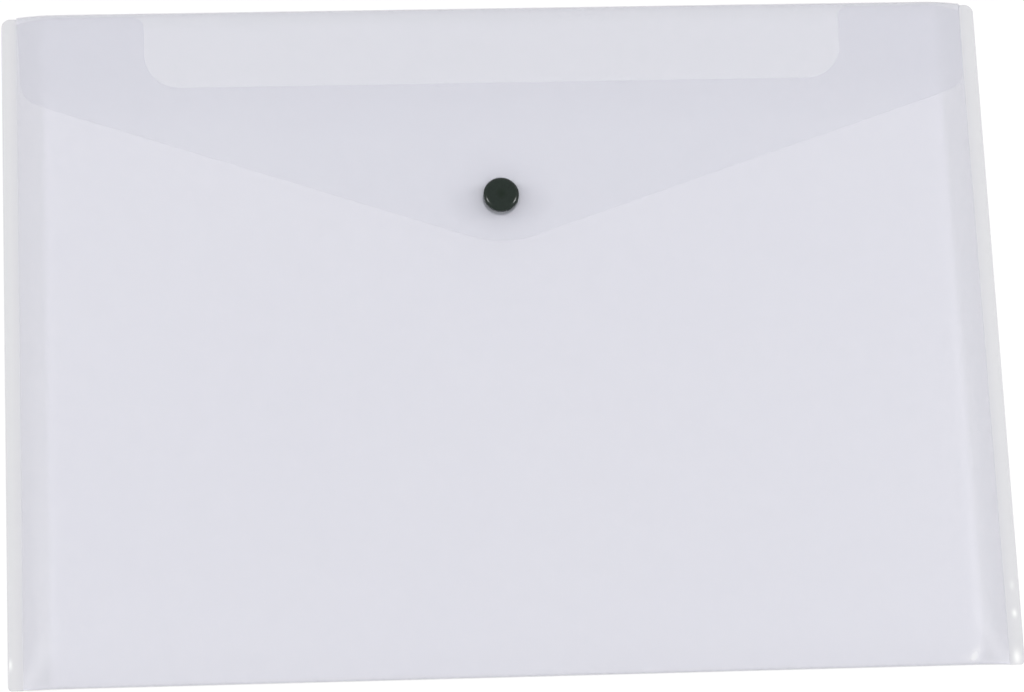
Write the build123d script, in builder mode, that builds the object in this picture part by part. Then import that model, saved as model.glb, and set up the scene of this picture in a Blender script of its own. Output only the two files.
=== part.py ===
from build123d import *
import math
import os

# Document wallet of clear polypropylene film with one press stud, lying on its back, flap closed.
# X runs across the wallet, Y from the bottom fold up to the flap's crease, Z up from the surface.
# The origin is under the middle of the wallet. Lengths are in millimetres, angles in degrees.

# Folded sheet
wallet_width = 335.0
wallet_height = 235.0
sheet = 0.2  # thickness of the film
pocket_depth = 5.6  # clear space between the back and the level part of the front
weld_width = 5.0
weld_melt = 0.1  # film melted between the two sheets of a weld
weld_rise = 0.06  # the front already rises this much where the weld ends
weld_top_radius = 3.0  # rounded top corner of a weld band
weld_foot_radius = 1.5  # its bottom corner
flank_width = 14.0  # the front rises over this width beside a weld
fold_radius = 1.2  # outside of the bottom fold
fold_run = 16.0  # the front rises over this length above the bottom fold
fold_root = 1.0  # film before and past the bend that still belongs to a fold
flank_shares = (0, 0.25, 0.5, 0.75, 1)

# Mouth of the pocket, cut out of the front panel
mouth_depth = 28.0  # from the top of the wallet
mouth_corner_radius = 12.0
shoulder_width = 43.4  # front panel left standing beside the mouth, from the weld
shoulder_radius = 4.0  # inner top corner of a shoulder
shoulder_gap = 0.5  # between a shoulder and the crease line

# Flap
flap_gap = 0.8  # between the front panel and the flap at the crease
flap_side_gap = 0.3  # between the flap's side edge and the weld band
flap_run = 45.0  # the flap rises over this length from the crease
flap_side = 29.5  # from the crease line to where a side edge meets the V
flap_taper = 1.5  # a side edge comes in by this much over its length
flap_point = 84.6  # from the crease line to where the V edges would meet
flap_tip_radius = 34.0
flap_corner_radius = 8.0

# Press stud
stud_setback = 18.2  # from the meeting point of the V edges
cap_radius = 6.0
cap_height = 1.9
cap_rim = 0.95  # straight side of the cap
cap_crown = 1.7  # width of the round slope beside the cap's flat top
cap_edge_radius = 0.2
dimple_radius = 2.3
dimple_depth = 0.15
socket_radius = 5.6
socket_height = 2.3
socket_web = 0.6  # roof of the socket, held against the flap
socket_edge = 0.4  # chamfer round the socket's foot
lip_height = 0.5
lip_lead = 0.15  # lead-in at the mouth of the socket
ball_radius = 2.25
ball_top_radius = 1.9
ball_flange_radius = 6.0
ball_flange = 0.45
ball_flange_edge = 0.15  # chamfer round the flange
snap_bite = 0.2  # by how much the ball is wider than the socket's lip, on the radius
snap_play = 0.05
inner_cap_radius = 6.0
inner_cap_height = 1.1
inner_cap_edge = 0.4  # chamfer round the inner cap
post_radius = 1.2
post_play = 0.05
rivet_radius = 1.55  # flattened head of a post
rivet_height = 0.3
overrun = 5.0  # how far cutting shapes pass the faces that they cut

# Directions on the film's sections, which are drawn looking along the folds
level_angle = 90
under_angle = 270

# Heights
weld_height = sheet + weld_melt + sheet
front_face = sheet + pocket_depth + sheet
front_under = front_face - sheet
flap_under = front_face + ball_flange + snap_play + socket_height
flap_face = flap_under + sheet
cap_top = flap_face + cap_height
socket_foot = flap_under - socket_height
socket_roof = flap_under - socket_web
ball_base = front_face + ball_flange
ball_top = socket_roof - rivet_height - snap_play - snap_play

# Places across the wallet
half_width = wallet_width / 2
weld_edge = half_width - weld_width
level_edge = weld_edge - flank_width
flap_edge = weld_edge - flap_side_gap
flap_corner = flap_edge - flap_taper
mouth_edge = weld_edge - shoulder_width

# Places up the wallet
top_line = wallet_height / 2
crease_radius = (front_face + flap_gap + sheet) / 2
crease_line = top_line - crease_radius
fold_line = fold_radius - wallet_height / 2
mouth_line = top_line - mouth_depth
shoulder_line = crease_line - shoulder_gap
stud_line = crease_line - flap_point + stud_setback

# Bends of the film at the welds, where the bottom fold is pressed flat
weld_fold_radius = (weld_height - weld_rise) / 2

back_plane = Plane.XY
crease_plane = Plane(origin=(0, crease_line, 0), x_dir=(0, -1, 0), z_dir=(-1, 0, 0))
stud_plane = Plane(origin=(0, stud_line, 0), x_dir=(1, 0, 0), z_dir=(0, -1, 0))
stud_axis = Axis((0, stud_line, 0), (0, 0, 1))


def fold_plane(across, shift):
    """Plane of the front panel's section at a place across the wallet, from the start of its bend up."""
    return Plane(origin=(across, fold_line - shift, 0), x_dir=(0, 1, 0), z_dir=(1, 0, 0))


def panel_bend(radius, face, run):
    """Bend of a panel that leaves a fold at a slope and ends level with its face after the run."""
    slope = 2 * math.atan((face - 2 * radius) / run)
    bend_radius = run / math.sin(slope) + radius
    bend_end = level_angle + math.degrees(slope)
    root_angle = math.degrees(fold_root / bend_radius)
    return bend_radius, bend_end, root_angle


def fold_profile(plane, radius, face, run, tail):
    """Section of a fold: flat tail off the back, round bend, and root of the panel that leaves it."""
    bend_radius, bend_end, root_angle = panel_bend(radius, face, run)
    fold_centre = (0, radius)
    bend_centre = (run, face - bend_radius)
    root_end = bend_end - root_angle
    turn = bend_end - under_angle
    with BuildSketch(plane) as profile:
        with BuildLine():
            outer_fold = CenterArc(fold_centre, radius, under_angle, turn)
            outer_root = CenterArc(bend_centre, bend_radius, bend_end, -root_angle)
            inner_root = CenterArc(bend_centre, bend_radius - sheet, root_end, root_angle)
            inner_fold = CenterArc(fold_centre, radius - sheet, bend_end, -turn)
            Line(outer_root @ 1, inner_root @ 0)
            Polyline(inner_fold @ 1, (tail, sheet), (tail, 0), outer_fold @ 0)
        make_face()
    return profile.sketch


def panel_profile(plane, radius, face, run, length):
    """Section of a panel from the root of its fold to its free edge."""
    bend_radius, bend_end, root_angle = panel_bend(radius, face, run)
    bend_centre = (run, face - bend_radius)
    root_end = bend_end - root_angle
    with BuildSketch(plane) as profile:
        with BuildLine():
            outer_bend = CenterArc(bend_centre, bend_radius, root_end, level_angle - root_end)
            inner_bend = CenterArc(bend_centre, bend_radius - sheet, level_angle, root_end - level_angle)
            Polyline(outer_bend @ 1, (length, face), (length, face - sheet), inner_bend @ 0)
            Line(inner_bend @ 1, outer_bend @ 0)
        make_face()
    return profile.sketch


def flank_values(share):
    """Place across, fold radius, shift of the bend and face height at a share of the way from the weld to
    the level part. The shift keeps the fold's outermost line straight."""
    risen = 1 - (1 - share) ** 2
    across = weld_edge - share * flank_width
    radius = weld_fold_radius + (fold_radius - weld_fold_radius) * risen
    shift = fold_radius - radius
    face = weld_height + (front_face - weld_height) * risen
    return across, radius, shift, face


front_length = shoulder_line - fold_line
flank_folds = []
flank_panels = []
for flank_share in flank_shares:
    across, radius, shift, face = flank_values(flank_share)
    section_plane = fold_plane(across, shift)
    flank_folds.append(fold_profile(section_plane, radius, face, fold_run + shift, fold_root + shift))
    flank_panels.append(panel_profile(section_plane, radius, face, fold_run + shift, front_length + shift))

# Back panel: the flat sheet that the wallet lies on, between the welds and the two folds
with BuildPart() as back_panel:
    with BuildSketch(back_plane):
        with BuildLine():
            Polyline(
                (-weld_edge, fold_line + fold_root),
                (weld_edge, fold_line + fold_root),
                (weld_edge, crease_line - fold_root),
                (-weld_edge, crease_line - fold_root),
                close=True,
            )
        make_face()
    extrude(amount=sheet)

# Bottom fold: the sheet turned up and over, round in the middle and pressed flat into the welds
with BuildPart() as bottom_fold:
    loft(flank_folds)
    mirror(about=Plane.YZ)
    extrude(
        fold_profile(fold_plane(0, 0), fold_radius, front_face, fold_run, fold_root),
        amount=level_edge,
        both=True,
    )

# Front panel: pillowed off the welds and the fold, with the mouth between two shoulders
with BuildPart() as front_panel:
    loft(flank_panels)
    mirror(about=Plane.YZ)
    extrude(
        panel_profile(fold_plane(0, 0), fold_radius, front_face, fold_run, front_length),
        amount=level_edge,
        both=True,
    )
    with BuildSketch(back_plane):
        with BuildLine():
            Polyline(
                (-mouth_edge, mouth_line),
                (mouth_edge, mouth_line),
                (mouth_edge, top_line),
                (-mouth_edge, top_line),
                close=True,
            )
        mouth = make_face()
        fillet(mouth.vertices().group_by(Axis.Y)[0], radius=mouth_corner_radius)
    extrude(amount=front_face + overrun, mode=Mode.SUBTRACT)
    shoulder_corners = (
        front_panel.edges()
        .filter_by(Axis.Z)
        .group_by(Axis.Y)[-1]
        .filter_by_position(Axis.X, -mouth_edge - sheet, mouth_edge + sheet)
    )
    fillet(shoulder_corners, radius=shoulder_radius)
    with Locations((0, stud_line, front_face)):
        Hole(post_radius + post_play, depth=overrun)

# Side welds: flat bands in which the back and the front are melted together
with BuildPart() as right_side_weld:
    with BuildSketch(back_plane):
        with BuildLine():
            Polyline(
                (weld_edge, fold_line - fold_radius),
                (half_width, fold_line - fold_radius),
                (half_width, top_line),
                (weld_edge, top_line),
                close=True,
            )
        band = make_face()
        outer_corners = band.vertices().group_by(Axis.X)[-1]
        fillet(outer_corners.sort_by(Axis.Y)[-1], radius=weld_top_radius)
        fillet(outer_corners.sort_by(Axis.Y)[0], radius=weld_foot_radius)
    extrude(amount=weld_height)

with BuildPart() as left_side_weld:
    mirror(right_side_weld.part, about=Plane.YZ)

# Flap crease: the round living hinge from the back panel's top edge over to the flap
with BuildPart() as flap_crease:
    extrude(
        fold_profile(crease_plane, crease_radius, flap_face, flap_run, fold_root),
        amount=flap_edge,
        both=True,
    )

# Flap: rises off the crease, runs level over the stud and ends in a V with a rounded tip
with BuildPart() as flap:
    extrude(
        panel_profile(crease_plane, crease_radius, flap_face, flap_run, flap_point),
        amount=flap_edge,
        both=True,
    )
    with BuildSketch(back_plane):
        with BuildLine():
            Polyline(
                (-flap_edge, top_line),
                (-flap_edge, crease_line - fold_root),
                (-flap_corner, crease_line - flap_side),
                (0, crease_line - flap_point),
                (flap_corner, crease_line - flap_side),
                (flap_edge, crease_line - fold_root),
                (flap_edge, top_line),
                close=True,
            )
        outline = make_face()
        rows = outline.vertices().group_by(Axis.Y)
        fillet(rows[0], radius=flap_tip_radius)
        fillet(rows[1], radius=flap_corner_radius)
    extrude(amount=cap_top, mode=Mode.INTERSECT)
    with Locations((0, stud_line, flap_face)):
        Hole(post_radius + post_play, depth=overrun)

# Stud cap: round-edged disc on the flap, with a dimple, and a post flattened inside the socket
with BuildPart() as stud_cap:
    with BuildSketch(stud_plane):
        with BuildLine():
            rim = Polyline(
                (0, socket_roof - rivet_height),
                (rivet_radius, socket_roof - rivet_height),
                (rivet_radius, socket_roof),
                (post_radius, socket_roof),
                (post_radius, flap_face),
                (cap_radius, flap_face),
                (cap_radius, flap_face + cap_rim),
            )
            top = Line((dimple_radius, cap_top), (cap_radius - cap_crown, cap_top))
            TangentArc(top @ 1, rim @ 1, tangent=top % 1)
            dimple = TangentArc((0, cap_top - dimple_depth), top @ 0, tangent=top % 0)
            Line(dimple @ 0, rim @ 0)
        cap_face = make_face()
        rim_points = cap_face.vertices().group_by(Axis.X)[-1]
        fillet(rim_points.sort_by(Axis.Y)[-1], radius=cap_edge_radius)
    revolve(axis=stud_axis)

# Stud socket: ring under the flap whose lip holds the ball
lip_radius = ball_radius - snap_bite
groove_radius = ball_radius + snap_play + snap_play
lip_top = socket_foot + lip_height
with BuildPart() as stud_socket:
    with BuildSketch(stud_plane):
        with BuildLine():
            Polyline(
                (post_radius + post_play, flap_under),
                (post_radius + post_play, socket_roof),
                (groove_radius, socket_roof),
                (groove_radius, lip_top + lip_lead),
                (lip_radius, lip_top),
                (lip_radius, socket_foot + lip_lead),
                (lip_radius + lip_lead, socket_foot),
                (socket_radius, socket_foot),
                (socket_radius, flap_under),
                close=True,
            )
        socket_face = make_face()
        outer_points = socket_face.vertices().group_by(Axis.X)[-1]
        chamfer(outer_points.sort_by(Axis.Y)[0], length=socket_edge)
    revolve(axis=stud_axis)

# Stud ball: flange on the front panel and a hollow ball that snaps past the socket's lip
neck_radius = lip_radius - snap_play - snap_play
with BuildPart() as stud_ball:
    with BuildSketch(stud_plane):
        with BuildLine():
            neck = Polyline(
                (post_radius + post_play, front_face),
                (ball_flange_radius, front_face),
                (ball_flange_radius, ball_base),
                (neck_radius, ball_base),
                (neck_radius, lip_top),
            )
            ball = ThreePointArc(
                neck @ 1,
                (ball_radius, (lip_top + ball_top) / 2),
                (ball_top_radius, ball_top),
            )
            Polyline(
                ball @ 1,
                (rivet_radius + post_play, ball_top),
                (rivet_radius + post_play, ball_top - rivet_height),
                (post_radius + post_play, ball_top - rivet_height),
                neck @ 0,
            )
        ball_face = make_face()
        flange_points = ball_face.vertices().group_by(Axis.X)[-1]
        chamfer(flange_points.sort_by(Axis.Y)[-1], length=ball_flange_edge)
    revolve(axis=stud_axis)

# Inner cap: smooth disc inside the pocket, whose post is flattened in the top of the ball
with BuildPart() as inner_cap:
    with BuildSketch(stud_plane):
        with BuildLine():
            Polyline(
                (0, front_under - inner_cap_height),
                (inner_cap_radius, front_under - inner_cap_height),
                (inner_cap_radius, front_under),
                (post_radius, front_under),
                (post_radius, ball_top - rivet_height),
                (rivet_radius, ball_top - rivet_height),
                (rivet_radius, ball_top),
                (0, ball_top),
                close=True,
            )
        disc = make_face()
        disc_points = disc.vertices().group_by(Axis.X)[-1]
        chamfer(disc_points.sort_by(Axis.Y)[0], length=inner_cap_edge)
    revolve(axis=stud_axis)

pieces = {
    "back_panel": back_panel,
    "bottom_fold": bottom_fold,
    "front_panel": front_panel,
    "left_side_weld": left_side_weld,
    "right_side_weld": right_side_weld,
    "flap_crease": flap_crease,
    "flap": flap,
    "stud_cap": stud_cap,
    "stud_socket": stud_socket,
    "stud_ball": stud_ball,
    "inner_cap": inner_cap,
}

os.makedirs("parts", exist_ok=True)
for name, piece in pieces.items():
    piece.part.label = name
    export_step(piece.part, f"parts/{name}.step")
    box = piece.part.bounding_box()
    print(name, len(piece.part.solids()), round(piece.part.volume, 2), box.min, box.max)
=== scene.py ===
import math

import bpy
from mathutils import Matrix, Vector
from mathutils.geometry import delaunay_2d_cdt


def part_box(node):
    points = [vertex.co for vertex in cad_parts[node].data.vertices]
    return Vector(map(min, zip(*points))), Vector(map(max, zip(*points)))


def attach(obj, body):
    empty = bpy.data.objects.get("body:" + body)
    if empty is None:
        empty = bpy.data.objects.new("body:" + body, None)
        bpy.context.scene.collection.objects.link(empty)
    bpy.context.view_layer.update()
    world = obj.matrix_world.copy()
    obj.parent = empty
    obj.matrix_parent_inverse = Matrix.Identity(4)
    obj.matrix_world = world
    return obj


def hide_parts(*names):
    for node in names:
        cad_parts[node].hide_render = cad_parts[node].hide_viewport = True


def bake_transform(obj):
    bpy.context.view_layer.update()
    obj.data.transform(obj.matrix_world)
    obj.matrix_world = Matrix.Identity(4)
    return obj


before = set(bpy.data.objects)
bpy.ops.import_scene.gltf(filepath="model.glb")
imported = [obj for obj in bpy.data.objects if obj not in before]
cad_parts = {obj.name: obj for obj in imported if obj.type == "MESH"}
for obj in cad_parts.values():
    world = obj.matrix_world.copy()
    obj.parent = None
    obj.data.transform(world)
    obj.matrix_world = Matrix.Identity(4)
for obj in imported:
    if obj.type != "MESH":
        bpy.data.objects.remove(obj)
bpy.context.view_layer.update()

# Pocket sheet
# Back, bottom fold and front are one die-cut blank of clear polypropylene film, faintly frosted by the
# roll that it was cast on. It lies flat, turns up and over at the fold, and its front comes down to the
# welds at both sides, so that the empty pocket stands like a flat pillow.
back_low, back_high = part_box("back_panel")
fold_low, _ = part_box("bottom_fold")
_, front_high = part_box("front_panel")
weld_low, weld_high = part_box("right_side_weld")
cap_low, cap_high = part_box("stud_cap")
film = back_high.z - back_low.z
weld_edge = back_high.x
fold_root = 0.001
fold_line = back_low.y - fold_root
crease_line = back_high.y + fold_root
top_line = weld_high.y
shoulder_reach = 0.002
shoulder_line = front_high.y + shoulder_reach
front_face = front_high.z
weld_face = weld_high.z
stud_line = (cap_low.y + cap_high.y) / 2
fold_radius = fold_line - fold_low.y
weld_fold_radius = 0.00022
fold_run = 0.016
flank_width = 0.014
flank_painted_shade_width = 0.0098
mouth_depth = 0.028
mouth_corner_radius = 0.012
shoulder_width = 0.0434
shoulder_radius = 0.004
post_hole_radius = 0.00125
welded_margin = 0.0002
pocket_wave = 0.0002
wave_scale = 11.0
stud_hold = 0.01
stud_ease = 0.04
stud_shadow_reach = 0.0085
kink_height = 0.00012
kink_place = 0.1493
kink_lean_across = 0.5
kink_lean_up = 0.87
kink_rise = 0.0014
kink_width = 0.0011
kink_length = 0.0034


class Term:
    """A value that a node tree works out, so that the rule of a shape is written as a plain formula."""

    def __init__(self, tree, socket):
        self.tree = tree
        self.socket = socket

    def step(self, operation, first, second=0.0):
        node = self.tree.nodes.new("ShaderNodeMath")
        node.operation = operation
        for socket, value in zip(node.inputs, (first, second)):
            if isinstance(value, Term):
                self.tree.links.new(value.socket, socket)
            else:
                socket.default_value = value
        return Term(self.tree, node.outputs["Value"])

    def __add__(self, other):
        return self.step("ADD", self, other)

    def __sub__(self, other):
        return self.step("SUBTRACT", self, other)

    def __rsub__(self, other):
        return self.step("SUBTRACT", other, self)

    def __mul__(self, other):
        return self.step("MULTIPLY", self, other)

    def __truediv__(self, other):
        return self.step("DIVIDE", self, other)

    def __pow__(self, other):
        return self.step("POWER", self, other)

    def __gt__(self, other):
        return self.step("GREATER_THAN", self, other)

    def __abs__(self):
        return self.step("ABSOLUTE", self)

    def sine(self):
        return self.step("SINE", self)

    def cosine(self):
        return self.step("COSINE", self)

    def arctangent(self):
        return self.step("ARCTANGENT", self)

    def root(self):
        return self.step("SQRT", self)

    def falloff(self):
        return self.step("EXPONENT", self)

    def at_least(self, other):
        return self.step("MAXIMUM", self, other)

    def at_most(self, other):
        return self.step("MINIMUM", self, other)

    def share(self):
        return self.at_least(0.0).at_most(1.0)

    def where(self, condition, otherwise):
        return otherwise + condition * (self - otherwise)


def folding_tree():
    """Node tree that folds a flat blank. The blank lies in X and Y: its Y below 0 stays flat on the table,
    then comes the length of the bend, and the rest rises as a panel that ends level with its face."""
    tree = bpy.data.node_groups.new("folded film", "GeometryNodeTree")
    tree.interface.new_socket("Geometry", in_out="OUTPUT", socket_type="NodeSocketGeometry")
    tree.interface.new_socket("Geometry", in_out="INPUT", socket_type="NodeSocketGeometry")
    sizes = (
        "Fold line",
        "Direction",
        "Bend radius",
        "Bend length",
        "Face height",
        "Run",
        "Weld edge",
        "Flank width",
        "Shade width",
        "Flank strain",
        "Run strain",
        "Weld bend radius",
        "Weld bend shift",
        "Weld face height",
        "Stud line",
        "Stud strain",
        "Wave height",
        "Kink height",
        "Kink place",
        "Thickness",
    )
    for size in sizes:
        tree.interface.new_socket(size, in_out="INPUT", socket_type="NodeSocketFloat")
    tree.interface.new_socket("Cut edge", in_out="INPUT", socket_type="NodeSocketMaterial")
    nodes = tree.nodes
    given = nodes.new("NodeGroupInput").outputs
    result = nodes.new("NodeGroupOutput").inputs
    value = {size: Term(tree, given[size]) for size in sizes}

    position = nodes.new("GeometryNodeInputPosition")
    flat = nodes.new("ShaderNodeSeparateXYZ")
    tree.links.new(position.outputs["Position"], flat.inputs["Vector"])
    across = Term(tree, flat.outputs["X"])
    along = Term(tree, flat.outputs["Y"])

    # The panel comes down to each weld along a parabola, and its bend is pressed tighter there
    beside_weld = value["Weld edge"] - abs(across)
    flank = (beside_weld / value["Flank width"]).share()
    fallen = (1.0 - flank) ** 2.0
    radius = value["Bend radius"] - (value["Bend radius"] - value["Weld bend radius"]) * fallen
    face = value["Face height"] - (value["Face height"] - value["Weld face height"]) * fallen

    # The bend is round, and the panel leaves it at the slope that its own wide arc needs to end level
    run = value["Run"]
    slope = ((face - radius * 2.0) / run).arctangent() * 2.0
    panel_radius = run / slope.sine() + radius
    turned = (along / value["Bend length"]).share()
    angle = 1.5 * math.pi - turned * (math.pi - slope)
    bend_out = radius * angle.cosine()
    bend_up = radius + radius * angle.sine()
    panel = (along - value["Bend length"]).at_least(0.0)
    root = radius * slope.sine() * -1.0
    panel_out = root + panel.at_most(run) * (run - root) / run + (panel - run).at_least(0.0)
    short = (run - panel_out).at_least(0.0)
    panel_up = face - panel_radius + (panel_radius ** 2.0 - short ** 2.0).root()
    on_panel = panel > 0.0

    # A tighter bend can be moved out, so that the outermost line of the fold stays straight
    pressed_out = value["Weld bend shift"] * fallen * (along > 0.0) * (1.0 - (panel / run).share())
    out = panel_out.where(on_panel, bend_out) - along.at_most(0.0) - pressed_out
    place = value["Fold line"] + out * value["Direction"]
    up = panel_up.where(on_panel, bend_up)

    # Film never lies quite even: long low waves away from the welds, the fold and the stud
    spot = nodes.new("ShaderNodeCombineXYZ")
    tree.links.new(across.socket, spot.inputs["X"])
    tree.links.new(place.socket, spot.inputs["Y"])
    tree.links.new(value["Direction"].socket, spot.inputs["Z"])
    drift = nodes.new("ShaderNodeTexNoise")
    drift.inputs["Scale"].default_value = wave_scale
    drift.inputs["Detail"].default_value = 1.0
    tree.links.new(spot.outputs["Vector"], drift.inputs["Vector"])
    from_stud = (across ** 2.0 + (place - value["Stud line"]) ** 2.0).root()
    freedom = flank * (panel / run).share() * ((from_stud - stud_hold) / stud_ease).share()
    wave = (Term(tree, drift.outputs["Fac"]) - 0.5) * value["Wave height"] * freedom

    # One small kink stands on the bottom fold and leans towards the right weld
    from_kink = across - value["Kink place"]
    beside_kink = (from_kink * kink_lean_up - panel * kink_lean_across) / kink_width
    up_kink = (from_kink * kink_lean_across + panel * kink_lean_up - kink_rise) / kink_length
    kink = ((beside_kink ** 2.0 + up_kink ** 2.0) * -1.0).falloff() * on_panel
    up = up + wave + kink * value["Kink height"]

    folded = nodes.new("ShaderNodeCombineXYZ")
    tree.links.new(across.socket, folded.inputs["X"])
    tree.links.new(place.socket, folded.inputs["Y"])
    tree.links.new(up.socket, folded.inputs["Z"])

    # How much painted shade the film gets in its bend, on its flanks and where it rises, with a painted
    # shadow round the stud, and where its kink gets a painted glint in white: both are kept for its colour
    # while the blank is flat
    bend_steepness = 10.0
    flank_steepness = 4.0
    flank_reach = 1.05
    run_steepness = 2.0
    # Painted shade: darker in the bend, on the flanks and where the panel rises
    bend_shade = (turned * (1.0 - turned) * bend_steepness).share()
    to_flank = flank_reach - beside_weld / value["Shade width"]
    flank_shade = (to_flank * flank_steepness).share() * on_panel * value["Flank strain"]
    run_shade = ((1.0 - panel / run) * run_steepness).share() * turned * value["Run strain"]
    # Painted shadow of the stud: the film is painted darker round it
    stud_shadow = (((from_stud / stud_shadow_reach) ** 2.0 * -1.0).falloff() * value["Stud strain"]).share()
    painted_shade = bend_shade.at_least(flank_shade).at_least(run_shade).at_least(stud_shadow)
    stressed = nodes.new("GeometryNodeStoreNamedAttribute")
    stressed.data_type = "FLOAT"
    stressed.domain = "POINT"
    stressed.inputs["Name"].default_value = "painted_shade"
    tree.links.new(given["Geometry"], stressed.inputs["Geometry"])
    tree.links.new(painted_shade.socket, stressed.inputs["Value"])
    # The kink's painted glint: it is painted white where the light would catch it
    glinted = nodes.new("GeometryNodeStoreNamedAttribute")
    glinted.data_type = "FLOAT"
    glinted.domain = "POINT"
    glinted.inputs["Name"].default_value = "white"
    tree.links.new(stressed.outputs["Geometry"], glinted.inputs["Geometry"])
    tree.links.new((kink * (value["Kink height"] > 0.0)).socket, glinted.inputs["Value"])
    bent = nodes.new("GeometryNodeSetPosition")
    tree.links.new(glinted.outputs["Geometry"], bent.inputs["Geometry"])
    tree.links.new(folded.outputs["Vector"], bent.inputs["Position"])

    # The film's thickness goes inwards, and its cut edges get their own finish, except at the welds
    grown = nodes.new("GeometryNodeExtrudeMesh")
    grown.mode = "FACES"
    grown.inputs["Individual"].default_value = False
    tree.links.new(bent.outputs["Geometry"], grown.inputs["Mesh"])
    tree.links.new((value["Thickness"] * -1.0).socket, grown.inputs["Offset Scale"])
    sides = nodes.new("GeometryNodeStoreNamedAttribute")
    sides.data_type = "BOOLEAN"
    sides.domain = "FACE"
    sides.inputs["Name"].default_value = "cut"
    tree.links.new(grown.outputs["Mesh"], sides.inputs["Geometry"])
    free_edge = Term(tree, grown.outputs["Side"]) * (beside_weld > welded_margin)
    tree.links.new(free_edge.socket, sides.inputs["Value"])
    inner = nodes.new("GeometryNodeFlipFaces")
    tree.links.new(sides.outputs["Geometry"], inner.inputs["Mesh"])
    whole = nodes.new("GeometryNodeJoinGeometry")
    tree.links.new(bent.outputs["Geometry"], whole.inputs["Geometry"])
    tree.links.new(inner.outputs["Mesh"], whole.inputs["Geometry"])
    closed = nodes.new("GeometryNodeMergeByDistance")
    closed.inputs["Distance"].default_value = 0.000001
    tree.links.new(whole.outputs["Geometry"], closed.inputs["Geometry"])
    real = nodes.new("GeometryNodeRealizeInstances")
    tree.links.new(closed.outputs["Geometry"], real.inputs["Geometry"])
    cut = nodes.new("GeometryNodeInputNamedAttribute")
    cut.data_type = "BOOLEAN"
    cut.inputs["Name"].default_value = "cut"
    edged = nodes.new("GeometryNodeSetMaterial")
    tree.links.new(real.outputs["Geometry"], edged.inputs["Geometry"])
    tree.links.new(cut.outputs["Attribute"], edged.inputs["Selection"])
    tree.links.new(given["Cut edge"], edged.inputs["Material"])
    tree.links.new(edged.outputs["Geometry"], result["Geometry"])
    return tree


def die_line(corners):
    """Outline of a blank: straight cuts between corners (x, y, radius), with arcs where there's a radius."""
    arc_step = math.radians(5)
    line = []
    for index, (x, y, radius) in enumerate(corners):
        corner = Vector((x, y))
        if radius == 0:
            line.append(corner)
            continue
        to_before = (Vector(corners[index - 1][:2]) - corner).normalized()
        to_after = (Vector(corners[(index + 1) % len(corners)][:2]) - corner).normalized()
        half = to_before.angle(to_after) / 2
        centre = corner + (to_before + to_after).normalized() * radius / math.sin(half)
        start = corner + to_before * radius / math.tan(half) - centre
        end = corner + to_after * radius / math.tan(half) - centre
        first = math.atan2(start.y, start.x)
        turn = (math.atan2(end.y, end.x) - first + math.pi) % (2 * math.pi) - math.pi
        steps = max(2, round(abs(turn) / arc_step))
        for step in range(steps + 1):
            angle = first + turn * step / steps
            line.append(centre + Vector((math.cos(angle), math.sin(angle))) * radius)
    return line


def round_hole(x, y, radius, sides=24):
    """Outline of a punched hole, for a rivet's post."""
    turns = [2 * math.pi * side / sides for side in range(sides)]
    return [Vector((x + radius * math.cos(turn), y + radius * math.sin(turn))) for turn in turns]


def spaced(start, end, step):
    """Evenly spaced places from start to end, about a step apart."""
    count = max(1, round(abs(end - start) / step))
    return [start + (end - start) * index / count for index in range(count + 1)]


def both_sides(places):
    """Places from the middle outwards, with their mirror images before them."""
    return [-x for x in places[:0:-1]] + places


def cut_blank(name, outlines, columns, rows, face_down=False):
    """Flat film inside the first outline and outside the others, with points on a grid so it can bend."""
    inside_with_holes = 2
    same_point = 0.00001
    points = []
    cuts = []
    for outline in outlines:
        first = len(points)
        count = len(outline)
        points.extend(outline)
        cuts.extend((first + index, first + (index + 1) % count) for index in range(count))
    points.extend(Vector((x, y)) for x in columns for y in rows)
    cut_points, _, triangles, *_ = delaunay_2d_cdt(points, cuts, [], inside_with_holes, same_point)
    used = sorted({corner for triangle in triangles for corner in triangle})
    number = {corner: index for index, corner in enumerate(used)}
    turn = -1 if face_down else 1
    faces = [[number[corner] for corner in triangle][::turn] for triangle in triangles]
    mesh = bpy.data.meshes.new(name)
    mesh.from_pydata([(cut_points[corner].x, cut_points[corner].y, 0) for corner in used], [], faces)
    blank = bpy.data.objects.new(name, mesh)
    bpy.context.collection.objects.link(blank)
    return blank


def fold(blank, tree, values):
    """Folds a blank by the tree and keeps the result as its plain mesh. Clear film lets light through, so it
    throws no shadow and holds back no scattered light."""
    sharp_turn = math.radians(50)
    folding = blank.modifiers.new("folding", "NODES")
    folding.node_group = tree
    for item in tree.interface.items_tree:
        if item.in_out == "INPUT" and item.name in values:
            folding[item.identifier] = values[item.name]
    graph = bpy.context.evaluated_depsgraph_get()
    mesh = bpy.data.meshes.new_from_object(blank.evaluated_get(graph))
    blank.modifiers.remove(folding)
    blank.data = mesh
    mesh.shade_smooth()
    mesh.set_sharp_from_angle(angle=sharp_turn)
    blank.visible_shadow = False
    blank.visible_diffuse = False


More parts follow.
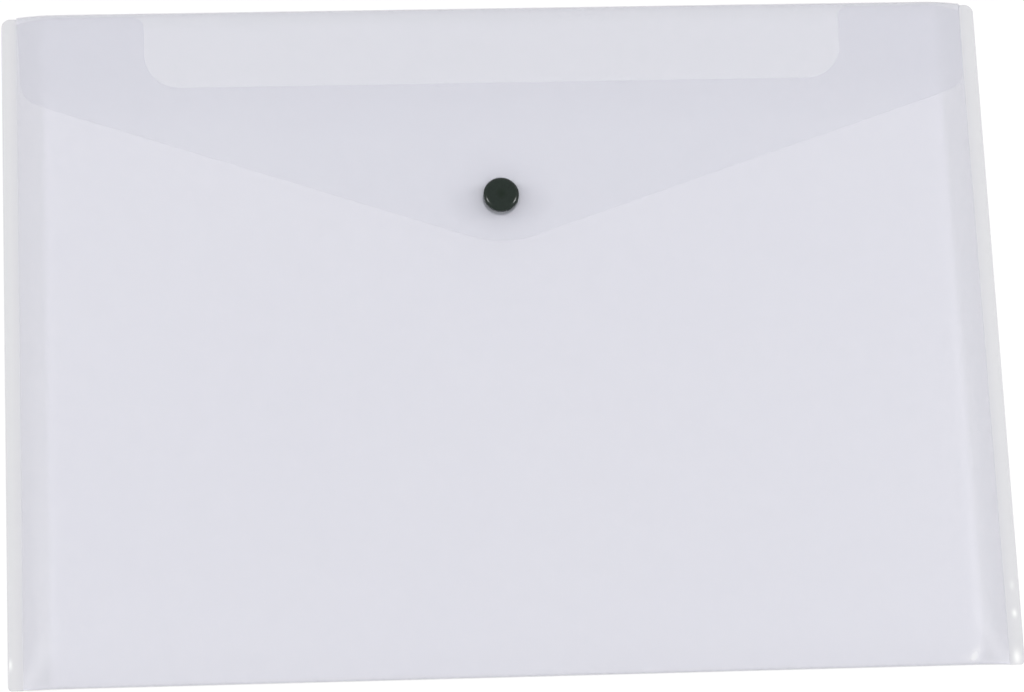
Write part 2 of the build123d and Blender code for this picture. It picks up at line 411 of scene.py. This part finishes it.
def film_finish(name, colour, cloud, painted_shade_colour, cover, frosting):
    """Clear film: a thin veil of colour under a soft gloss, with painted shade and painted glints where its
    mesh marks them. cover is how much each of its faces hides, and frosting is how far its gloss is
    scattered."""
    glint_white = (0.97, 0.97, 0.97)
    material = bpy.data.materials.new(name)
    material.use_nodes = True
    nodes = material.node_tree.nodes
    links = material.node_tree.links
    shader = nodes["Principled BSDF"]
    place = nodes.new("ShaderNodeTexCoord")

    drift = nodes.new("ShaderNodeTexNoise")
    drift.inputs["Scale"].default_value = 9.0
    drift.inputs["Detail"].default_value = 3.0
    links.new(place.outputs["Object"], drift.inputs["Vector"])
    body = nodes.new("ShaderNodeMix")
    body.data_type = "RGBA"
    body.inputs["A"].default_value = (*colour, 1)
    body.inputs["B"].default_value = (*cloud, 1)
    links.new(drift.outputs["Fac"], body.inputs["Factor"])
    # Painted shade: darker where the folding or the welds mark it
    painted_shade = nodes.new("ShaderNodeAttribute")
    painted_shade.attribute_name = "painted_shade"
    shaded = nodes.new("ShaderNodeMix")
    shaded.data_type = "RGBA"
    shaded.inputs["B"].default_value = (*painted_shade_colour, 1)
    links.new(painted_shade.outputs["Fac"], shaded.inputs["Factor"])
    links.new(body.outputs["Result"], shaded.inputs["A"])
    # Painted glints: white where the kink or the welds mark them
    white = nodes.new("ShaderNodeAttribute")
    white.attribute_name = "white"
    glinted = nodes.new("ShaderNodeMix")
    glinted.data_type = "RGBA"
    glinted.inputs["B"].default_value = (*glint_white, 1)
    links.new(white.outputs["Fac"], glinted.inputs["Factor"])
    links.new(shaded.outputs["Result"], glinted.inputs["A"])
    links.new(glinted.outputs["Result"], shader.inputs["Base Color"])

    frost = nodes.new("ShaderNodeTexNoise")
    frost.inputs["Scale"].default_value = 1800.0
    frost.inputs["Detail"].default_value = 2.0
    links.new(place.outputs["Object"], frost.inputs["Vector"])
    gloss = nodes.new("ShaderNodeMapRange")
    gloss.inputs["To Min"].default_value = 0.38
    gloss.inputs["To Max"].default_value = 0.52
    links.new(frost.outputs["Fac"], gloss.inputs["Value"])
    links.new(gloss.outputs["Result"], shader.inputs["Roughness"])
    grain = nodes.new("ShaderNodeBump")
    grain.inputs["Strength"].default_value = 0.05
    grain.inputs["Distance"].default_value = 0.0001
    links.new(frost.outputs["Fac"], grain.inputs["Height"])
    links.new(grain.outputs["Normal"], shader.inputs["Normal"])
    shader.inputs["IOR"].default_value = 1.5
    shader.inputs["Coat Weight"].default_value = 1.0
    shader.inputs["Coat Roughness"].default_value = frosting
    shader.inputs["Alpha"].default_value = cover
    return material


bend_length = math.pi * fold_radius
front_length = bend_length + shoulder_line - fold_line
mouth_place = bend_length + top_line - mouth_depth - fold_line
mouth_edge = weld_edge - shoulder_width
level_edge = weld_edge - flank_width
stud_place = bend_length + stud_line - fold_line
pocket_outline = die_line(
    [
        (-weld_edge, fold_line - crease_line, 0),
        (weld_edge, fold_line - crease_line, 0),
        (weld_edge, front_length, 0),
        (mouth_edge, front_length, shoulder_radius),
        (mouth_edge, mouth_place, mouth_corner_radius),
        (-mouth_edge, mouth_place, mouth_corner_radius),
        (-mouth_edge, front_length, shoulder_radius),
        (-weld_edge, front_length, 0),
    ]
)
back_step = 0.01
bend_step = 0.0003
run_step = 0.001
level_step = 0.004
flank_step = 0.0007
pocket_columns = both_sides(
    spaced(0, level_edge, level_step) + spaced(level_edge, weld_edge, flank_step)[1:]
)
pocket_rows = (
    spaced(fold_line - crease_line, 0, back_step)
    + spaced(0, bend_length, bend_step)[1:]
    + spaced(bend_length, bend_length + fold_run, run_step)[1:]
    + spaced(bend_length + fold_run, front_length, level_step)[1:]
)
pocket_sheet = cut_blank(
    "pocket_sheet",
    [pocket_outline, round_hole(0, stud_place, post_hole_radius)],
    pocket_columns,
    pocket_rows,
)
folded_film = folding_tree()
clear_film = film_finish(
    "clear film",
    colour=(0.577, 0.577, 0.669),
    cloud=(0.597, 0.598, 0.677),
    painted_shade_colour=(0.474, 0.476, 0.542),
    cover=0.29,
    frosting=0.45,
)
cut_edge = film_finish(
    "cut edge of the film",
    colour=(0.59, 0.59, 0.65),
    cloud=(0.61, 0.61, 0.67),
    painted_shade_colour=(0.55, 0.55, 0.6),
    cover=0.29,
    frosting=0.45,
)
pocket_sheet.data.materials.append(clear_film)
fold(
    pocket_sheet,
    folded_film,
    {
        "Fold line": fold_line,
        "Direction": 1.0,
        "Bend radius": fold_radius,
        "Bend length": bend_length,
        "Face height": front_face,
        "Run": fold_run,
        "Weld edge": weld_edge,
        "Flank width": flank_width,
        "Shade width": flank_painted_shade_width,
        # Painted shade on the flanks
        "Flank strain": 1.0,
        "Run strain": 0.0,
        "Weld bend radius": weld_fold_radius,
        "Weld bend shift": fold_radius - weld_fold_radius,
        "Weld face height": weld_face,
        "Stud line": stud_line,
        "Stud strain": 0.0,
        "Wave height": pocket_wave,
        # The kink, which also carries a painted glint
        "Kink height": kink_height,
        "Kink place": kink_place,
        "Thickness": film,
        "Cut edge": cut_edge,
    },
)
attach(pocket_sheet, "wallet")
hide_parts("back_panel", "bottom_fold", "front_panel")

# Side welds
# Along both sides a hot bar has melted the back and the front into one flat band. The bar presses it
# smooth and the melt leaves its rims a little rounded; its inner half is painted darker, painted shade that
# carries on from the flank. Near the fold it has a few small painted glints, white marks where light catches
# it.
weld_rim = 0.00012
weld_top_radius = 0.003
weld_foot_radius = 0.0015
weld_unshaded = 0.0022
weld_shade_fade = 0.0028
welded_film = film_finish(
    "welded film",
    colour=(0.593, 0.593, 0.625),
    cloud=(0.62, 0.62, 0.652),
    painted_shade_colour=(0.555, 0.555, 0.6),
    cover=0.5,
    frosting=0.08,
)
# Each painted glint: how far in and how far up it lies, its half width and half length, and how white it is
weld_glints = {
    "left_side_weld": [(0.0008, 0.0088, 0.0006, 0.0016, 1.0)],
    "right_side_weld": [
        (0.0025, 0.0025, 0.0011, 0.0024, 1.0),
        (0.0022, 0.0175, 0.0007, 0.0012, 1.0),
        (0.0023, 0.0271, 0.0007, 0.0014, 0.35),
    ],
}
marked_length = 0.03
marked_step = 0.0006
plain_step = 0.006
band_step = 0.0005
rim_turn = math.radians(35)
for side, node in ((-1, "left_side_weld"), (1, "right_side_weld")):
    band_outline = die_line(
        [
            (side * weld_low.x, weld_low.y, 0),
            (side * weld_high.x, weld_low.y, weld_foot_radius),
            (side * weld_high.x, weld_high.y, weld_top_radius),
            (side * weld_low.x, weld_high.y, 0),
        ]
    )
    band_columns = spaced(side * weld_low.x, side * weld_high.x, band_step)[1:-1]
    band_rows = (
        spaced(weld_low.y, weld_low.y + marked_length, marked_step)[1:]
        + spaced(weld_low.y + marked_length, weld_high.y, plain_step)[1:-1]
    )
    band = cut_blank(node + "_band", [band_outline], band_columns, band_rows)
    thickness = band.modifiers.new("thickness", "SOLIDIFY")
    thickness.thickness = weld_face
    thickness.offset = 1
    soft_rim = band.modifiers.new("soft rim", "BEVEL")
    soft_rim.width = weld_rim
    soft_rim.segments = 3
    soft_rim.limit_method = "ANGLE"
    band.data.materials.append(welded_film)
    band_mesh = bpy.data.meshes.new_from_object(band.evaluated_get(bpy.context.evaluated_depsgraph_get()))
    band.modifiers.clear()
    band.data = band_mesh
    band_mesh.shade_smooth()
    band_mesh.set_sharp_from_angle(angle=rim_turn)
    # Painted shade over the band's inner half, and painted glints at the marks
    band_shade = band_mesh.attributes.new("painted_shade", "FLOAT", "POINT")
    white = band_mesh.attributes.new("white", "FLOAT", "POINT")
    for index, point in enumerate(band_mesh.vertices):
        inwards = weld_high.x - abs(point.co.x)
        upwards = point.co.y - weld_low.y
        band_shade.data[index].value = min(1.0, max(0.0, (inwards - weld_unshaded) / weld_shade_fade))
        white.data[index].value = max(
            whiteness * math.exp(-(((inwards - deep) / wide) ** 2) - ((upwards - high) / long) ** 2)
            for deep, high, wide, long, whiteness in weld_glints[node]
        )
    band.visible_shadow = False
    band.visible_diffuse = False
    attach(band, "wallet")
    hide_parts(node)

# Flap
# The blank's top end comes over the mouth on a round living hinge, which is pinched at both welds, and ends
# in a V with a rounded tip, which the stud holds down. Its film is the pocket's, painted a little lighter
# and less blue as painted light, with painted shade where it rises and a painted shadow round the stud. Its
# edges are cut by the same die.
_, crease_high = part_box("flap_crease")
_, flap_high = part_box("flap")
flap_edge = crease_high.x
flap_face = flap_high.z
crease_radius = crease_high.y - crease_line
flap_run = 0.045
flap_side = 0.0295
flap_taper = 0.0015
flap_point = 0.0846
flap_tip_radius = 0.034
flap_corner_radius = 0.008
flap_wave = 0.0005
crease_flank = flank_width
crease_painted_shade_width = 0.008
crease_end_radius = 0.0016
crease_length = math.pi * crease_radius
flap_root = crease_length + 2 * fold_root
flap_corner = flap_edge - flap_taper
flap_outline = die_line(
    [
        (-weld_edge, 0, 0),
        (weld_edge, 0, 0),
        (weld_edge, crease_length, 0),
        (flap_edge, flap_root, 0),
        (flap_corner, crease_length + flap_side, flap_corner_radius),
        (0, crease_length + flap_point, flap_tip_radius),
        (-flap_corner, crease_length + flap_side, flap_corner_radius),
        (-flap_edge, flap_root, 0),
        (-weld_edge, crease_length, 0),
    ]
)
flap_level = flap_edge - crease_flank
pinch_step = 0.001
crease_step = 0.0006
rise_step = 0.0022
flap_columns = both_sides(
    spaced(0, flap_level, level_step) + spaced(flap_level, flap_edge, pinch_step)[1:]
)
flap_rows = (
    spaced(0, crease_length, crease_step)
    + spaced(crease_length, crease_length + flap_run, rise_step)[1:]
    + spaced(crease_length + flap_run, crease_length + flap_point, level_step)[1:]
)
flap_sheet = cut_blank(
    "flap_sheet",
    [flap_outline, round_hole(0, crease_length + crease_line - stud_line, post_hole_radius)],
    flap_columns,
    flap_rows,
    face_down=True,
)
# Painted light: the pocket's film, painted a little lighter and less blue
flap_film = film_finish(
    "flap film",
    colour=(0.605, 0.612, 0.684),
    cloud=(0.625, 0.632, 0.693),
    painted_shade_colour=(0.503, 0.508, 0.58),
    cover=0.29,
    frosting=0.45,
)
flap_sheet.data.materials.append(flap_film)
fold(
    flap_sheet,
    folded_film,
    {
        "Fold line": crease_line,
        "Direction": -1.0,
        "Bend radius": crease_radius,
        "Bend length": crease_length,
        "Face height": flap_face,
        "Run": flap_run,
        "Weld edge": flap_edge,
        "Flank width": crease_flank,
        "Shade width": crease_painted_shade_width,
        # Painted shade on the flanks and where the flap rises
        "Flank strain": 0.5,
        "Run strain": 0.42,
        "Weld bend radius": crease_end_radius,
        "Weld bend shift": crease_radius - crease_end_radius,
        "Weld face height": flap_face,
        "Stud line": stud_line,
        # A painted shadow round the stud
        "Stud strain": 1.2,
        "Wave height": flap_wave,
        "Kink height": 0.0,
        "Kink place": 0.0,
        "Thickness": film,
        "Cut edge": cut_edge,
    },
)
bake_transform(flap_sheet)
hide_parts("flap_crease", "flap")

# Press stud
# Four mouldings of black acetal: cap and socket are riveted through the flap, ball and inner cap through
# the front. Their faces are glossy from the mould, have painted shade that darkens the dimple at their
# middle, and have faint marks of use.
dimple_radius = 0.0023
stud_black = bpy.data.materials.new("black acetal")
stud_black.use_nodes = True
stud_nodes = stud_black.node_tree.nodes
stud_links = stud_black.node_tree.links
stud_shader = stud_nodes["Principled BSDF"]
stud_coordinates = stud_nodes.new("ShaderNodeTexCoord")
stud_marks = stud_nodes.new("ShaderNodeTexNoise")
stud_marks.inputs["Scale"].default_value = 900.0
stud_marks.inputs["Detail"].default_value = 4.0
stud_links.new(stud_coordinates.outputs["Object"], stud_marks.inputs["Vector"])
stud_gloss = stud_nodes.new("ShaderNodeMapRange")
stud_gloss.inputs["To Min"].default_value = 0.14
stud_gloss.inputs["To Max"].default_value = 0.3
stud_links.new(stud_marks.outputs["Fac"], stud_gloss.inputs["Value"])
stud_links.new(stud_gloss.outputs["Result"], stud_shader.inputs["Roughness"])
stud_tone = stud_nodes.new("ShaderNodeMix")
stud_tone.data_type = "RGBA"
stud_tone.inputs["A"].default_value = (0.005, 0.011, 0.008, 1)
stud_tone.inputs["B"].default_value = (0.011, 0.021, 0.015, 1)
stud_links.new(stud_marks.outputs["Fac"], stud_tone.inputs["Factor"])
stud_point = stud_nodes.new("ShaderNodeSeparateXYZ")
stud_links.new(stud_coordinates.outputs["Object"], stud_point.inputs["Vector"])
stud_across = Term(stud_black.node_tree, stud_point.outputs["X"])
stud_along = Term(stud_black.node_tree, stud_point.outputs["Y"]) - stud_line
# Painted shade: the dimple at the middle is painted darker
dimple = (1.0 - (stud_across ** 2.0 + stud_along ** 2.0).root() / dimple_radius).share()
dimple_shade = stud_nodes.new("ShaderNodeMix")
dimple_shade.data_type = "RGBA"
dimple_shade.inputs["B"].default_value = (0.0005, 0.0087, 0.0018, 1)
stud_links.new(dimple.socket, dimple_shade.inputs["Factor"])
stud_links.new(stud_tone.outputs["Result"], dimple_shade.inputs["A"])
stud_links.new(dimple_shade.outputs["Result"], stud_shader.inputs["Base Color"])
stud_shader.inputs["IOR"].default_value = 1.42
for node in ("stud_cap", "stud_socket", "stud_ball", "inner_cap"):
    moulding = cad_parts[node]
    moulding.data.materials.clear()
    moulding.data.materials.append(stud_black)

# Table
# A plain white sweep of board, just under the wallet.
floor_drop = 0.0002
floor_half = 3.0
floor_mesh = bpy.data.meshes.new("table")
floor_corners = [(-1, -1), (1, -1), (1, 1), (-1, 1)]
floor_points = [(x * floor_half, y * floor_half, -floor_drop) for x, y in floor_corners]
floor_mesh.from_pydata(floor_points, [], [(0, 1, 2, 3)])
floor = bpy.data.objects.new("table", floor_mesh)
bpy.context.collection.objects.link(floor)
floor_white = bpy.data.materials.new("white board")
floor_white.use_nodes = True
floor_shader = floor_white.node_tree.nodes["Principled BSDF"]
floor_shader.inputs["Base Color"].default_value = (0.95, 0.95, 0.95, 1)
floor_shader.inputs["Roughness"].default_value = 0.9
floor_mesh.materials.append(floor_white)

# Studio light
# One square soft box at each side, half way up, in a bright white room that lights everything evenly.
room_light = 0.67
box_reach = 1.1
box_size = 0.35
box_watts = 6.9
world = bpy.data.worlds.new("white room")
world.use_nodes = True
world.node_tree.nodes["Background"].inputs["Color"].default_value = (1, 1, 1, 1)
world.node_tree.nodes["Background"].inputs["Strength"].default_value = room_light
bpy.context.scene.world = world


def soft_box(name, place, size, watts):
    """A square light that faces the middle of the wallet."""
    data = bpy.data.lights.new(name, "AREA")
    data.shape = "SQUARE"
    data.size = size
    data.energy = watts
    box = bpy.data.objects.new(name, data)
    box.location = place
    box.rotation_euler = (-Vector(place)).to_track_quat("-Z", "Y").to_euler()
    bpy.context.collection.objects.link(box)


soft_box("left box", (-box_reach, 0, box_reach), box_size, box_watts)
soft_box("right box", (box_reach, 0, box_reach), box_size, box_watts)

# Camera
# It looks down on the wallet from the lower left, turned a little about its own axis, through a long lens.
view_azimuth = math.radians(-14.295)
view_elevation = math.radians(71.738)
view_roll = math.radians(12.390)
view_distance = 1.5176
view_aim = Vector((0.00208, -0.00301, 0))
lens_length = 158.77
sensor_width = 36
back_way = Vector(
    (
        math.sin(view_azimuth) * math.cos(view_elevation),
        -math.cos(view_azimuth) * math.cos(view_elevation),
        math.sin(view_elevation),
    )
)
level_right = Vector((math.cos(view_azimuth), math.sin(view_azimuth), 0))
level_up = back_way.cross(level_right)
right = level_right * math.cos(view_roll) + level_up * math.sin(view_roll)
up = level_up * math.cos(view_roll) - level_right * math.sin(view_roll)
camera_data = bpy.data.cameras.new("camera")
camera_data.lens = lens_length
camera_data.sensor_width = sensor_width
camera_data.clip_end = 20
camera = bpy.data.objects.new("camera", camera_data)
camera.matrix_world = Matrix.Translation(view_aim + back_way * view_distance) @ Matrix(
    (right, up, back_way)
).transposed().to_4x4()
bpy.context.collection.objects.link(camera)
bpy.context.scene.camera = camera
bpy.context.scene.view_settings.view_transform = "Standard"
bpy.context.scene.cycles.transparent_max_bounces = 32
